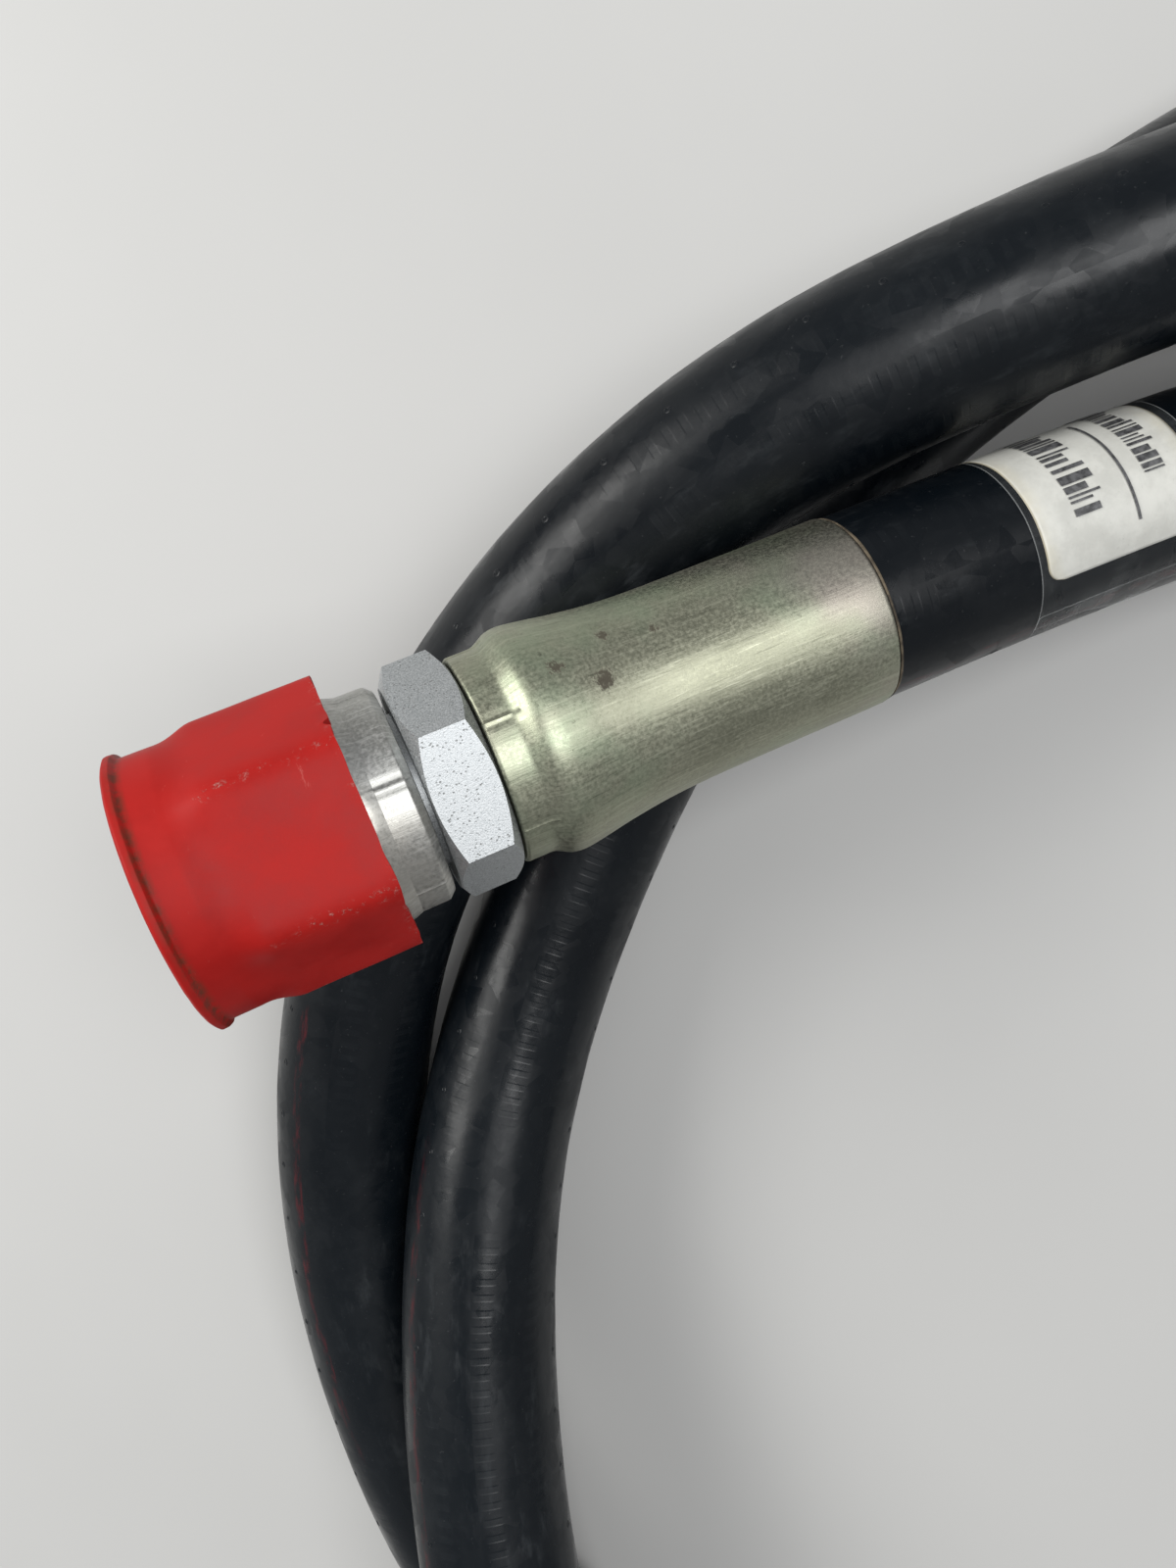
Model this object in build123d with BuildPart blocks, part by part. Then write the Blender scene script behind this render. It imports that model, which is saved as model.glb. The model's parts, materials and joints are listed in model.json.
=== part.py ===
"""Hydraulic hose assembly: a coiled two-wire-braid hose with a crimped swivel fitting and a dust cap
at each end.

Frame: +Z up, z = 0 is the surface that the coil lies on, +X is the plan direction in which the hose
leaves end A. The origin is on that surface, under the middle of the two end fittings.

Along a fitting, s is the distance from the hose route's end towards the dust cap, and r is a radius.
"""
from build123d import *
from math import cos, pi, radians, tan
import os

# Hose: a 3/8 inch two-wire-braid hose, its layers from the bore outwards
HOSE_BORE_R = 4.75
CORE_R = 6.10
INNER_BRAID_R = 6.60
TIE_LAYER_R = 6.90
OUTER_BRAID_R = 7.45
HOSE_R = 9.00

# Centreline of the hose from end A to end B, each end just outside its ferrule
ROUTE = [
    (-88.5, 64.5, 30.2),
    (-31.5, 64.5, 9.1),
    (23.0, 50.0, 9.0),
    (61.5, 15.5, 9.0),
    (78.0, -34.0, 9.0),
    (67.0, -86.0, 9.0),
    (34.0, -123.0, 9.0),
    (-16.0, -140.0, 9.0),
    (-72.0, -137.0, 9.0),
    (-120.0, -118.0, 9.0),
    (-156.0, -83.0, 9.0),
    (-177.0, -38.0, 9.0),
    (-175.5, 13.0, 9.0),
    (-149.5, 57.5, 16.0),
    (-104.0, 84.0, 27.0),
    (-52.0, 85.5, 28.5),
    (1.0, 79.0, 24.0),
    (51.0, 59.0, 13.0),
    (88.5, 22.5, 9.0),
    (103.5, -28.0, 9.0),
    (96.0, -81.0, 9.0),
    (65.5, -125.5, 9.0),
    (18.0, -154.5, 9.0),
    (-37.0, -163.0, 9.0),
    (-91.0, -160.0, 14.0),
    (-137.0, -132.0, 22.0),
    (-164.0, -86.6, 27.8),
    (-168.8, -38.4, 27.8),
    (-157.2, 9.2, 18.2),
    (-137.5, 40.0, 9.0),
    (-102.0, 73.0, 9.0),
    (-54.0, 90.0, 9.0),
    (2.0, 92.0, 9.0),
    (58.0, 81.0, 9.0),
    (101.0, 43.5, 9.0),
    (120.9, -9.4, 10.97),
]

# Crimped ferrule
FERRULE_MOUTH_S = 2.0
FERRULE_LIP = 0.5
BARREL_R = 9.15
BARREL_END_S = 19.0
FLARE_S = 28.5
FLARE_R = 9.85
BULGE_S = 33.4
BULGE_R = 10.60
BULGE_END_S = 36.0
FERRULE_NECK_R = 9.66
FERRULE_END_S = 38.8
HOSE_STOP_S = 33.0
GRIP_PITCH = 4.0
GRIP_WIDTH = 1.4
GRIP_DEPTH = 0.45

# Stem: barbed nipple, crimp neck, wrench hexagon, swivel shank and sealing head
STEM_BORE_R = 3.30
NIPPLE_TIP_S = 2.5
NIPPLE_TIP_R = 4.30
BARB_VALLEY_R = 4.35
BARB_PITCH = 5.0
BARB_COUNT = 6
STEM_NECK_R = 6.80
HEX_START_S = 39.0
HEX_LENGTH = 5.9
STEM_HEX_FLATS = 19.05
SHANK_R = 7.00
HEAD_R = 7.90
HEAD_START_S = 50.6
SEAL_FACE_S = 54.0

# Swivel nut, 11/16-16 thread, 13/16 inch across flats
NUT_START_S = 45.45
SKIRT_R = 9.95
SKIRT_END_S = 48.7
NUT_HEX_S = 50.2
NUT_MOUTH_S = 62.3
NUT_HEX_FLATS = 20.64
NUT_SHANK_BORE_R = 7.15
NUT_RELIEF_R = 8.30
NUT_SHOULDER_S = 50.4
THREAD_START_S = 54.4
THREAD_MINOR_R = 7.95
MOUTH_CHAMFER = 0.8

# Push-on dust cap
CAP_EDGE_S = 49.8
CAP_CLEARANCE = 0.12
CAP_WALL = 0.85
CAP_CORNER_ROUND = 2.0
CAP_HEX_END_S = 62.7
CAP_ROUND_R = 11.80
CAP_FLANGE_R = 12.40
CAP_FLANGE_S = 66.8
CAP_END_S = 67.8
CAP_INSIDE_END_S = 66.6
CAP_INSIDE_R = 10.70

# Part label and the clear tape over it, both behind ferrule A
LABEL_START = 13.6
LABEL_WIDTH = 17.0
LABEL_THICKNESS = 0.12
LABEL_LOW_ANGLE = -30.0
LABEL_WRAP = 230.0
TAPE_START = 12.8
TAPE_WIDTH = 18.6
TAPE_THICKNESS = 0.08

# How far each hexagon is turned from its upright position, in degrees
STEM_HEX_TURN = {"a": 21.0, "b": 40.0}
NUT_HEX_TURN = {"a": 29.5, "b": 4.0}


class FittingAxis:
    """The axis of one end fitting, starting where the hose's route ends."""

    def __init__(self, name, start, previous):
        self.name = name
        self.start = Vector(*start)
        self.direction = (self.start - Vector(*previous)).normalized()
        self.side = self.direction.cross(Vector(0, 0, 1)).normalized()
        self.upright = self.side.cross(self.direction).normalized()
        self.axis = Axis(self.start, self.direction)

    def profile(self):
        """Plane that holds the axis: local x is s, local y is r."""
        return Plane(origin=self.start, x_dir=self.direction, z_dir=self.side)

    def cross(self, s):
        """Plane across the axis at s, local x upright, facing the dust cap."""
        return Plane(origin=self.start + self.direction * s, x_dir=self.upright, z_dir=self.direction)


def corner_radii(points):
    """Radius at each corner: 0.45 of the shorter run over the tangent of half the turn."""
    radii = []
    for before, corner, after in zip(points, points[1:], points[2:]):
        run_in = Vector(*corner) - Vector(*before)
        run_out = Vector(*after) - Vector(*corner)
        turn = radians(run_in.get_angle(run_out))
        radii.append(0.45 * min(run_in.length, run_out.length) / tan(turn / 2))
    return radii


def hose_layer(name, inner_r, outer_r, reach_s, ends):
    """One layer of the hose, reaching past both ends of the route to reach_s."""
    points = [Vector(*point) for point in ROUTE]
    points[0] = ends[0].start + ends[0].direction * reach_s
    points[-1] = ends[1].start + ends[1].direction * reach_s
    with BuildPart() as layer:
        with BuildLine() as path:
            FilletPolyline(*points, radius=corner_radii(ROUTE))
        centreline = path.wire()
        with BuildSketch(Plane(origin=centreline @ 0, z_dir=centreline % 0)):
            Circle(outer_r)
            Circle(inner_r, mode=Mode.SUBTRACT)
        sweep(path=centreline)
    section = pi * (outer_r**2 - inner_r**2)
    length = centreline.length
    ratio = layer.part.volume / (section * length)
    print(f"{name}: length {length:.0f} mm, volume over section times length {ratio:.4f}")
    return layer.part


def ferrule(end):
    """Crimped sleeve: straight barrel over the skived hose, flare, bulge, and neck locked on the stem."""
    lip_start = (FERRULE_MOUTH_S, BARREL_R - FERRULE_LIP)
    lip_end = (FERRULE_MOUTH_S + FERRULE_LIP, BARREL_R)
    with BuildPart() as sleeve:
        with BuildSketch(end.profile()):
            with BuildLine():
                Line((FERRULE_MOUTH_S, OUTER_BRAID_R), lip_start)
                RadiusArc(lip_start, lip_end, FERRULE_LIP)
                Line(lip_end, (BARREL_END_S, BARREL_R))
                Spline(
                    (BARREL_END_S, BARREL_R),
                    (FLARE_S, FLARE_R),
                    (BULGE_S, BULGE_R),
                    (BULGE_END_S, FERRULE_NECK_R),
                    tangents=((1, 0), (0.3, -1)),
                )
                Polyline(
                    (BULGE_END_S, FERRULE_NECK_R),
                    (FERRULE_END_S, FERRULE_NECK_R),
                    (FERRULE_END_S, STEM_NECK_R),
                    (BULGE_END_S, STEM_NECK_R),
                    (HOSE_STOP_S, OUTER_BRAID_R),
                    (FERRULE_MOUTH_S, OUTER_BRAID_R),
                )
            make_face()
        revolve(axis=end.axis)
        with BuildSketch(end.profile()):
            for groove in range(1, int(HOSE_STOP_S / GRIP_PITCH)):
                with Locations((groove * GRIP_PITCH, OUTER_BRAID_R)):
                    Rectangle(GRIP_WIDTH, 2 * GRIP_DEPTH)
        revolve(axis=end.axis, mode=Mode.SUBTRACT)
    return sleeve.part


def stem(end):
    """Turned insert: barbed nipple in the hose, crimp neck, hexagon, swivel shank and flat head."""
    barbs = []
    for barb in range(BARB_COUNT):
        start = NIPPLE_TIP_S + 1.0 + barb * BARB_PITCH
        barbs.append((start, HOSE_BORE_R))
        barbs.append((start + 0.4 * BARB_PITCH, HOSE_BORE_R))
        barbs.append((start + 0.45 * BARB_PITCH, BARB_VALLEY_R))
    hexagon = chamfered_hexagon(
        end, HEX_START_S, HEX_START_S + HEX_LENGTH, STEM_HEX_FLATS, STEM_HEX_TURN[end.name], SHANK_R
    )
    with BuildPart() as insert:
        with BuildSketch(end.profile()):
            with BuildLine():
                Polyline(
                    (NIPPLE_TIP_S, STEM_BORE_R),
                    (NIPPLE_TIP_S, NIPPLE_TIP_R),
                    *barbs,
                    (HOSE_STOP_S, HOSE_BORE_R),
                    (HOSE_STOP_S, STEM_NECK_R),
                    (HEX_START_S, STEM_NECK_R),
                    (HEX_START_S, SHANK_R),
                    (HEAD_START_S, SHANK_R),
                    (HEAD_START_S, HEAD_R),
                    (SEAL_FACE_S, HEAD_R),
                    (SEAL_FACE_S, STEM_BORE_R),
                    (NIPPLE_TIP_S, STEM_BORE_R),
                )
            make_face()
        revolve(axis=end.axis)
        add(hexagon)
    return insert.part


def chamfered_hexagon(end, start, stop, flats, turn, bore_r):
    """Bored hexagonal bar from start to stop, its corners cut back to a 30 degree cone at each face."""
    corner_r = flats / 2 / cos(pi / 6)
    face_r = 0.49 * flats
    slope = (corner_r - face_r) * tan(radians(30))
    with BuildPart() as hexagon:
        with BuildSketch(end.cross(start)):
            RegularPolygon(flats / 2, 6, major_radius=False, rotation=turn)
            Circle(bore_r, mode=Mode.SUBTRACT)
        extrude(amount=stop - start)
        with BuildSketch(end.profile()):
            with BuildLine():
                Polyline(
                    (start, 0),
                    (start, face_r),
                    (start + slope, corner_r),
                    (stop - slope, corner_r),
                    (stop, face_r),
                    (stop, 0),
                    (start, 0),
                )
            make_face()
        revolve(axis=end.axis, mode=Mode.INTERSECT)
    return hexagon.part


def swivel_nut(end):
    """Female swivel nut: hexagon, crimped skirt round the shank, thread at its minor diameter."""
    hexagon = chamfered_hexagon(
        end, NUT_HEX_S, NUT_MOUTH_S, NUT_HEX_FLATS, NUT_HEX_TURN[end.name], NUT_SHANK_BORE_R
    )
    with BuildPart() as nut:
        add(hexagon)
        with BuildSketch(end.profile()):
            with BuildLine():
                Polyline(
                    (NUT_START_S, 0),
                    (NUT_START_S, SKIRT_R - 0.7),
                    (NUT_START_S + 0.7, SKIRT_R),
                    (SKIRT_END_S, SKIRT_R),
                    (NUT_HEX_S, NUT_HEX_FLATS / 2),
                    (NUT_HEX_S + 1, NUT_HEX_FLATS / 2),
                    (NUT_HEX_S + 1, 0),
                    (NUT_START_S, 0),
                )
            make_face()
        revolve(axis=end.axis)
        with BuildSketch(end.profile()):
            with BuildLine():
                Polyline(
                    (NUT_START_S, 0),
                    (NUT_START_S, NUT_SHANK_BORE_R),
                    (NUT_SHOULDER_S, NUT_SHANK_BORE_R),
                    (NUT_SHOULDER_S, NUT_RELIEF_R),
                    (THREAD_START_S, NUT_RELIEF_R),
                    (THREAD_START_S, THREAD_MINOR_R),
                    (NUT_MOUTH_S - MOUTH_CHAMFER, THREAD_MINOR_R),
                    (NUT_MOUTH_S, THREAD_MINOR_R + MOUTH_CHAMFER),
                    (NUT_MOUTH_S, 0),
                    (NUT_START_S, 0),
                )
            make_face()
        revolve(axis=end.axis, mode=Mode.SUBTRACT)
    return nut.part


def dust_cap(end):
    """Soft push-on cap: six-sided where the nut stretches it, round and flanged at its closed end."""
    inside_flats = NUT_HEX_FLATS + 2 * CAP_CLEARANCE
    turn = NUT_HEX_TURN[end.name]
    with BuildPart() as cap:
        with BuildSketch(end.cross(CAP_EDGE_S)) as skirt:
            RegularPolygon(inside_flats / 2 + CAP_WALL, 6, major_radius=False, rotation=turn)
            fillet(skirt.vertices(), CAP_CORNER_ROUND)
        extrude(amount=CAP_HEX_END_S - CAP_EDGE_S)
        with BuildSketch(end.cross(CAP_HEX_END_S)):
            Circle(CAP_ROUND_R)
        extrude(amount=CAP_END_S - CAP_HEX_END_S)
        with BuildSketch(end.cross(CAP_FLANGE_S)):
            Circle(CAP_FLANGE_R)
        extrude(amount=CAP_END_S - CAP_FLANGE_S)
        with BuildSketch(end.cross(CAP_EDGE_S)):
            RegularPolygon(inside_flats / 2, 6, major_radius=False, rotation=turn)
        extrude(amount=CAP_HEX_END_S - CAP_EDGE_S, mode=Mode.SUBTRACT)
        with BuildSketch(end.cross(CAP_EDGE_S)):
            Circle(CAP_INSIDE_R)
        extrude(amount=CAP_INSIDE_END_S - CAP_EDGE_S, mode=Mode.SUBTRACT)
    return cap.part


def label(end):
    """Paper part label wrapped over the hose."""
    with BuildPart() as paper:
        with BuildSketch(end.cross(-LABEL_START)):
            Circle(HOSE_R + LABEL_THICKNESS)
            Circle(HOSE_R, mode=Mode.SUBTRACT)
            with BuildLine():
                start = PolarLine((0, 0), 3 * HOSE_R, LABEL_LOW_ANGLE)
                CenterArc((0, 0), 3 * HOSE_R, LABEL_LOW_ANGLE, LABEL_WRAP)
                Line((0, 0), start @ 1)
                PolarLine((0, 0), 3 * HOSE_R, LABEL_LOW_ANGLE + LABEL_WRAP)
            make_face(mode=Mode.INTERSECT)
        extrude(amount=-LABEL_WIDTH)
    return paper.part


def label_tape(end):
    """Clear tape round the hose over the label."""
    inner_r = HOSE_R + LABEL_THICKNESS
    with BuildPart() as tape:
        with BuildSketch(end.cross(-TAPE_START)):
            Circle(inner_r + TAPE_THICKNESS)
            Circle(inner_r, mode=Mode.SUBTRACT)
        extrude(amount=-TAPE_WIDTH)
    return tape.part


def save(part, name):
    part.label = name
    export_step(part, f"parts/{name}.step")


def main():
    os.makedirs("parts", exist_ok=True)
    end_a = FittingAxis("a", ROUTE[0], ROUTE[1])
    end_b = FittingAxis("b", ROUTE[-1], ROUTE[-2])
    ends = (end_a, end_b)
    print("corner radii:", [round(radius) for radius in corner_radii(ROUTE)])
    save(hose_layer("core_tube", HOSE_BORE_R, CORE_R, HOSE_STOP_S, ends), "core_tube")
    save(hose_layer("inner_wire_braid", CORE_R, INNER_BRAID_R, HOSE_STOP_S, ends), "inner_wire_braid")
    save(hose_layer("tie_layer", INNER_BRAID_R, TIE_LAYER_R, HOSE_STOP_S, ends), "tie_layer")
    save(hose_layer("outer_wire_braid", TIE_LAYER_R, OUTER_BRAID_R, HOSE_STOP_S, ends), "outer_wire_braid")
    save(hose_layer("hose_cover", OUTER_BRAID_R, HOSE_R, FERRULE_MOUTH_S, ends), "hose_cover")
    save(label(end_a), "part_label")
    save(label_tape(end_a), "label_tape")
    for end in ends:
        save(ferrule(end), f"ferrule_{end.name}")
        save(stem(end), f"stem_{end.name}")
        save(swivel_nut(end), f"swivel_nut_{end.name}")
        save(dust_cap(end), f"dust_cap_{end.name}")


main()
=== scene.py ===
"""Looks of the hydraulic hose assembly: hose, label, crimped swivel fittings and dust caps.

Lengths inside the fittings and the hose are in millimetres and become metres where a mesh is made.
Along a fitting, s runs from the end of the hose's route towards the dust cap and r is a radius.
Along the hose, s runs from end A to end B.
"""
import json
import math
import random

import bmesh
import bpy
from mathutils import Matrix, Vector, noise


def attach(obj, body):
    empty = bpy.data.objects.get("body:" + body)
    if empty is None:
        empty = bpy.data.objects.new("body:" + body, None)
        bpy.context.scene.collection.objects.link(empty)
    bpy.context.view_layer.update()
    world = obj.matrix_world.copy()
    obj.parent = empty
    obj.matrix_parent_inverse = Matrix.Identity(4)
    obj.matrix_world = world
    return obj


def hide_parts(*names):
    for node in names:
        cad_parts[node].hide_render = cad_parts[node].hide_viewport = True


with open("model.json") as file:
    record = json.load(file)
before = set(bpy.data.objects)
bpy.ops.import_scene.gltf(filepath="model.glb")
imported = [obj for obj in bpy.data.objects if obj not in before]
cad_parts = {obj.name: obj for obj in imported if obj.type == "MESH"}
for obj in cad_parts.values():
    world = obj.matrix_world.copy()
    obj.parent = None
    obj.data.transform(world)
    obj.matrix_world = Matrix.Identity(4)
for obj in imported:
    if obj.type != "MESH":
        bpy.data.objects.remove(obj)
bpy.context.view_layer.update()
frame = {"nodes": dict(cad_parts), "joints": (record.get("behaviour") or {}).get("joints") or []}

MM = 0.001

# Hose centreline, the same control points as the CAD route, in metres
ROUTE = [
    (-0.0885, 0.0645, 0.0302),
    (-0.0315, 0.0645, 0.0091),
    (0.0230, 0.0500, 0.0090),
    (0.0615, 0.0155, 0.0090),
    (0.0780, -0.0340, 0.0090),
    (0.0670, -0.0860, 0.0090),
    (0.0340, -0.1230, 0.0090),
    (-0.0160, -0.1400, 0.0090),
    (-0.0720, -0.1370, 0.0090),
    (-0.1200, -0.1180, 0.0090),
    (-0.1560, -0.0830, 0.0090),
    (-0.1770, -0.0380, 0.0090),
    (-0.1755, 0.0130, 0.0090),
    (-0.1495, 0.0575, 0.0160),
    (-0.1040, 0.0840, 0.0270),
    (-0.0520, 0.0855, 0.0285),
    (0.0010, 0.0790, 0.0240),
    (0.0510, 0.0590, 0.0130),
    (0.0885, 0.0225, 0.0090),
    (0.1035, -0.0280, 0.0090),
    (0.0960, -0.0810, 0.0090),
    (0.0655, -0.1255, 0.0090),
    (0.0180, -0.1545, 0.0090),
    (-0.0370, -0.1630, 0.0090),
    (-0.0910, -0.1600, 0.0140),
    (-0.1370, -0.1320, 0.0220),
    (-0.1640, -0.0866, 0.0278),
    (-0.1688, -0.0384, 0.0278),
    (-0.1572, 0.0092, 0.0182),
    (-0.1375, 0.0400, 0.0090),
    (-0.1020, 0.0730, 0.0090),
    (-0.0540, 0.0900, 0.0090),
    (0.0020, 0.0920, 0.0090),
    (0.0580, 0.0810, 0.0090),
    (0.1010, 0.0435, 0.0090),
    (0.1209, -0.0094, 0.01097),
]

# Hose: outside radius, how far the tube reaches into the ferrules, and the sides round it
HOSE_R = 9.0
HOSE_REACH = 3.0
HOSE_SIDES = 96

# Where the part label and its tape lie on the hose
LABEL_S = (13.7, 30.5)
LABEL_ANGLES = (-30.0, 200.0)
LABEL_CORNER = 1.6
TAPE_S = (12.8, 31.4)

# Rows of vent pricks in the cover, and the layline printed in dashes along it
PRICK_PITCH = 6.75
PRICK_ANGLES = (44.0, 161.0, 283.0)
LAYLINE_PITCH = 202.4
LAYLINE_START_CM = 2.8

# Marks that the wrapping tape leaves in the cover: rows round the hose, and dashes along a row
WRAP_ROWS = 9
WRAP_PITCH = 1.7

# The hose's texture runs in centimetres: this over a pitch in millimetres is one wave for each pitch
ONE_WAVE = 20 * math.pi

# Fittings: where the ferrule's neck starts, and the degrees from one crimp mark to the next
FERRULE_NECK_S = 35.3
CRIMP_STEP = 60

# The nick in the ferrule: its place, and how far it reaches along and round
NICK_S, NICK_ANGLE = 26.2, 48
NICK_REACH_S, NICK_REACH_ANGLE = 0.9, 3.0

# Swivel nut: width across flats, bores, the degrees that each end's hexagon is turned, and its thread
NUT_FLATS = 20.64
NUT_SHANK_BORE_R = 7.15
NUT_RELIEF_R = 8.30
NUT_THREAD_R = 7.95
NUT_TURNS = {"a": 29.5, "b": 4.0}
THREAD_START_S = 54.9
THREAD_PITCH = 25.4 / 16
THREAD_TURNS = 4.4

# Dust cap: its fit on the nut, its wall, and where its edge, hexagon, flange and closed end lie
CAP_CLEARANCE = 0.12
CAP_WALL = 0.81
CAP_EDGE_S = 49.8
CAP_HEX_END_S = 62.4
CAP_FLANGE_S = 66.75
CAP_END_S = 67.8

# Floor: its side in metres, and the gap that keeps it just under the object
FLOOR_SIZE = 6.0
FLOOR_GAP = 0.0002

# Camera: degrees, and the lens in millimetres
CAMERA_PLACE = (-0.0990, 0.0670, 0.1447)
CAMERA_TILT = 10.97
CAMERA_HEADING = -156.86
CAMERA_ROLL = 22.24
CAMERA_LENS = 27.05


# ---------------------------------------------------------------- geometry helpers


class FittingAxis:
    """The axis of one end fitting, taken from its nut's hinge in the frame."""

    SWIVEL_S = 54.0

    def __init__(self, name):
        joint = next(j for j in frame["joints"] if j["name"] == f"nut_{name}_spin")
        self.name = name
        self.direction = Vector(joint["axis"]).normalized()
        self.side = self.direction.cross(Vector((0, 0, 1))).normalized()
        self.upright = self.side.cross(self.direction).normalized()
        self.across = self.direction.cross(self.upright)
        self.start = Vector(joint["pos_m"]) - self.direction * self.SWIVEL_S * MM

    def polar(self, place):
        """The s, r and angle in degrees of a place in metres."""
        reach = place - self.start
        s = reach.dot(self.direction) / MM
        radial = reach - self.direction * (s * MM)
        angle = math.degrees(math.atan2(radial.dot(self.across), radial.dot(self.upright)))
        return s, radial.length / MM, angle

    def point(self, s, r, angle):
        """Point at s along the axis, r from it, angle turned from upright."""
        spoke = self.upright * math.cos(angle) + self.across * math.sin(angle)
        return self.start + self.direction * (s * MM) + spoke * (r * MM)


class HoseLine:
    """The smooth centreline of the hose with a frame that doesn't twist about it."""

    def __init__(self, points, upright):
        self.points = points
        self.s = [0.0]
        for a, b in zip(points, points[1:]):
            self.s.append(self.s[-1] + (b - a).length / MM)
        self.tangents = []
        last = len(points) - 1
        for i in range(last + 1):
            self.tangents.append((points[min(i + 1, last)] - points[max(i - 1, 0)]).normalized())
        first = self.tangents[0]
        self.normals = [(upright - first * upright.dot(first)).normalized()]
        for tangent in self.tangents[1:]:
            carried = self.normals[-1] - tangent * self.normals[-1].dot(tangent)
            self.normals.append(carried.normalized())

    @property
    def length(self):
        return self.s[-1]

    def place(self, s):
        """Centre, tangent and normal at s, in between the line's own points."""
        low, high = 0, len(self.s) - 1
        while high - low > 1:
            middle = (low + high) // 2
            if self.s[middle] <= s:
                low = middle
            else:
                high = middle
        t = (s - self.s[low]) / (self.s[high] - self.s[low])
        centre = self.points[low].lerp(self.points[high], t)
        tangent = self.tangents[low].lerp(self.tangents[high], t).normalized()
        normal = self.normals[low].lerp(self.normals[high], t)
        normal = (normal - tangent * normal.dot(tangent)).normalized()
        return centre, tangent, normal

    def point(self, s, r, angle):
        """Point r from the centreline at s, angle turned from upright towards +Y at end A."""
        centre, tangent, normal = self.place(s)
        side = normal.cross(tangent)
        return centre + (normal * math.cos(angle) + side * math.sin(angle)) * (r * MM)


def new_piece(name, vertices, faces):
    """Smooth-shaded object made from lists of vertices and faces."""
    mesh = bpy.data.meshes.new(name)
    mesh.from_pydata(vertices, [], faces)
    mesh.shade_smooth()
    piece = bpy.data.objects.new(name, mesh)
    bpy.context.collection.objects.link(piece)
    return piece


def paint(piece, name, values):
    """Gives every vertex of a piece a value that its material can read by name."""
    layer = piece.data.attributes.new(name, "FLOAT", "POINT")
    layer.data.foreach_set("value", values)


def grid_mesh(name, rows, columns, place, wrap_columns=False, wrap_rows=False, uv=None):
    """Quads over a grid: place(row, column) gives each point, uv(row, column) its texture place."""
    vertices = [place(i, j) for i in range(rows) for j in range(columns)]
    faces = []
    corners = []
    row_steps = rows if wrap_rows else rows - 1
    column_steps = columns if wrap_columns else columns - 1
    for i in range(row_steps):
        for j in range(column_steps):
            ring = ((i, j), (i, j + 1), (i + 1, j + 1), (i + 1, j))
            faces.append([(a % rows) * columns + b % columns for a, b in ring])
            corners += ring
    piece = new_piece(name, vertices, faces)
    if uv:
        layer = piece.data.uv_layers.new(name="UVMap")
        for loop, (i, j) in enumerate(corners):
            layer.data[loop].uv = uv(i, j)
    piece.data.validate()
    return piece


def face_outwards(piece):
    """Turns every face of a closed piece outwards."""
    shape = bmesh.new()
    shape.from_mesh(piece.data)
    bmesh.ops.recalc_face_normals(shape, faces=shape.faces)
    shape.to_mesh(piece.data)
    shape.free()


def rounded_outline(corners, steps=5):
    """Outline through (s, r, rounding) corners, each rounded by an arc of that radius."""
    outline = []
    count = len(corners)
    for i, (s, r, rounding) in enumerate(corners):
        here = Vector((s, r))
        back = Vector(corners[i - 1][:2]) - here
        ahead = Vector(corners[(i + 1) % count][:2]) - here
        if rounding <= 0:
            outline.append(here)
            continue
        half_turn = (math.pi - back.angle(ahead)) / 2
        reach = min(rounding * math.tan(half_turn), 0.48 * back.length, 0.48 * ahead.length)
        start = here + back.normalized() * reach
        stop = here + ahead.normalized() * reach
        for k in range(steps + 1):
            t = k / steps
            outline.append(start * (1 - t) ** 2 + here * (2 * t * (1 - t)) + stop * t**2)
    return outline


def with_short_steps(outline, longest):
    """A closed outline with points added, so that its steps are about as long as the longest allowed."""
    dense = []
    for a, b in zip(outline, outline[1:] + outline[:1]):
        count = max(1, int((b - a).length / longest))
        dense += [a.lerp(b, k / count) for k in range(count)]
    return dense


def turned(name, end, outline, sides, shape):
    """Closed ring: an outline turned about the fitting's axis, shape(s, r, angle) moving its points."""
    lengths = [0.0]
    for a, b in zip(outline, outline[1:] + outline[:1]):
        lengths.append(lengths[-1] + (b - a).length)

    def place(i, j):
        s, r = outline[i % len(outline)]
        angle = 2 * math.pi * j / sides
        return end.point(*shape(s, r, angle), angle)

    def uv(i, j):
        return (lengths[i] * MM * 10, j / sides)

    piece = grid_mesh(name, len(outline), sides, place, wrap_columns=True, wrap_rows=True, uv=uv)
    face_outwards(piece)
    piece.data.set_sharp_from_angle(angle=math.radians(38))
    return piece


def smooth_step(low, high, value):
    """Eases from 0 at low to 1 at high."""
    t = min(1.0, max(0.0, (value - low) / (high - low)))
    return t * t * (3 - 2 * t)


def hexagon_reach(flats, angle, turn, rounding):
    """Distance from the axis to a hexagon with rounded corners, in the direction of angle."""
    offset = (math.degrees(angle) - turn + 30) % 60 - 30
    to_flat = 30 - abs(offset)
    flat = flats / 2 / math.cos(math.radians(to_flat))
    corner = flats / 2 / math.cos(math.radians(30))
    eased = corner - rounding * 0.155
    limit = eased - eased * (1 - math.cos(math.radians(offset))) * 0.35
    sharpness = 12.0 / max(rounding, 0.3)
    return -math.log(math.exp(-sharpness * flat) + math.exp(-sharpness * limit)) / sharpness


# ---------------------------------------------------------------- material helpers


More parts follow.
